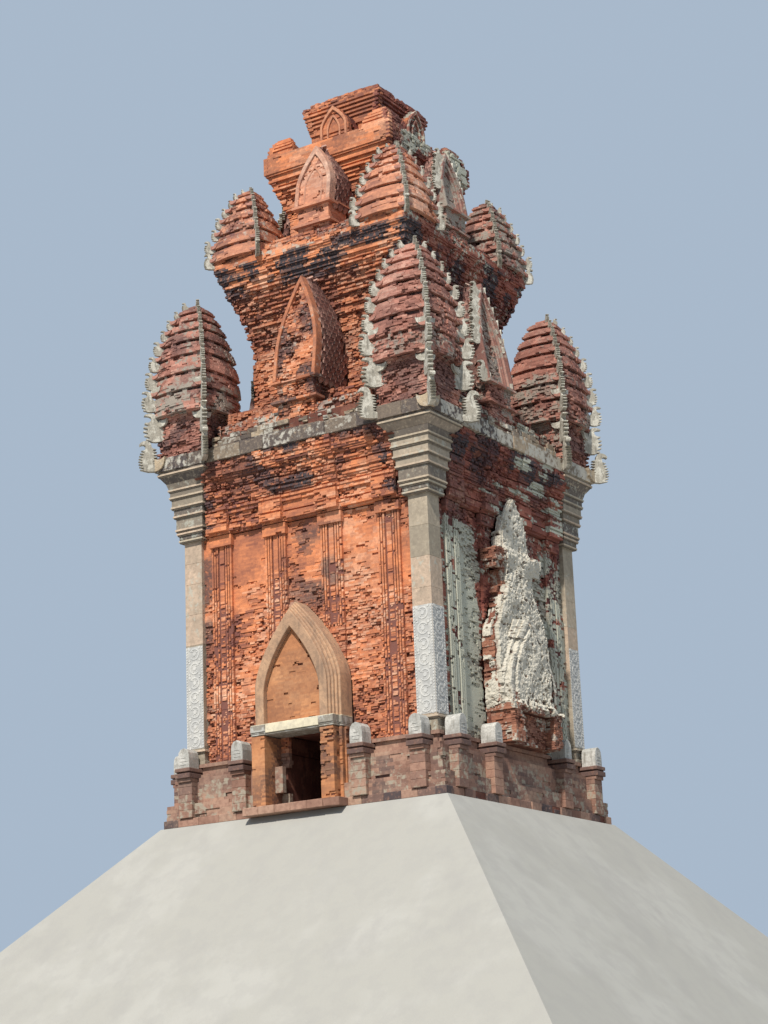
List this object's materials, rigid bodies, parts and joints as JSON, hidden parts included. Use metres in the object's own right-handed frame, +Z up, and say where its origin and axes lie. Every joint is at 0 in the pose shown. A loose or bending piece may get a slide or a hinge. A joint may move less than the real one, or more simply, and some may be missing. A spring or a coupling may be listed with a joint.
{
  "type": "brick temple tower",
  "caption": "Free-standing brick temple tower on a square plan, with stone corners, a pointed porch, blind doors and stepped upper storeys ringed by turrets and niches.",
  "frame": {"origin": "on the tower's vertical axis at ground level, at the centre of the underside of the floor", "axes": "+Z up the tower, -Y out of the porch, +X to the right of someone facing the porch"},
  "size_m": [9.125, 9.125, 20],
  "materials": {
    "brick": "worn orange-red brick in thin courses, pitted and stained",
    "dark_brick": "weathered red-brown brick with dark stains",
    "laid_brick": "newer smooth orange brick",
    "lichen_brick": "worn brick under pale grey lichen",
    "stone": "grey-buff sandstone, weathered"
  },
  "bodies": {
    "root": {"floor": "dark_brick", "base_front_left": "dark_brick", "base_front_right": "dark_brick", "base_right": "dark_brick", "base_back": "dark_brick", "base_left": "dark_brick", "front_wall_left": "brick", "front_wall_right": "brick", "front_wall_over_door": "brick", "right_wall": "brick", "back_wall": "brick", "left_wall": "brick", "corner_pilaster_front_left": "stone", "corner_pilaster_front_right": "stone", "corner_pilaster_back_right": "stone", "corner_pilaster_back_left": "stone", "main_cornice": "brick", "main_slab": "stone", "porch_pier_left": "laid_brick", "porch_pier_right": "laid_brick", "porch_lintel": "stone", "porch_arch": "laid_brick", "porch_tympanum": "laid_brick", "false_door_right": "lichen_brick", "false_door_back": "lichen_brick", "false_door_left": "lichen_brick", "second_storey": "brick", "third_storey": "brick", "top_storey": "brick", "second_storey_turret_front_left": "brick", "second_storey_turret_front_right": "brick", "second_storey_turret_back_right": "brick", "second_storey_turret_back_left": "brick", "third_storey_turret_front_left": "brick", "third_storey_turret_front_right": "brick", "third_storey_turret_back_right": "brick", "third_storey_turret_back_left": "brick", "second_storey_niche_front": "brick", "second_storey_niche_right": "brick", "second_storey_niche_back": "brick", "second_storey_niche_left": "brick", "third_storey_niche_front": "brick", "third_storey_niche_right": "brick", "third_storey_niche_back": "brick", "third_storey_niche_left": "brick"}
  },
  "joints": []
}
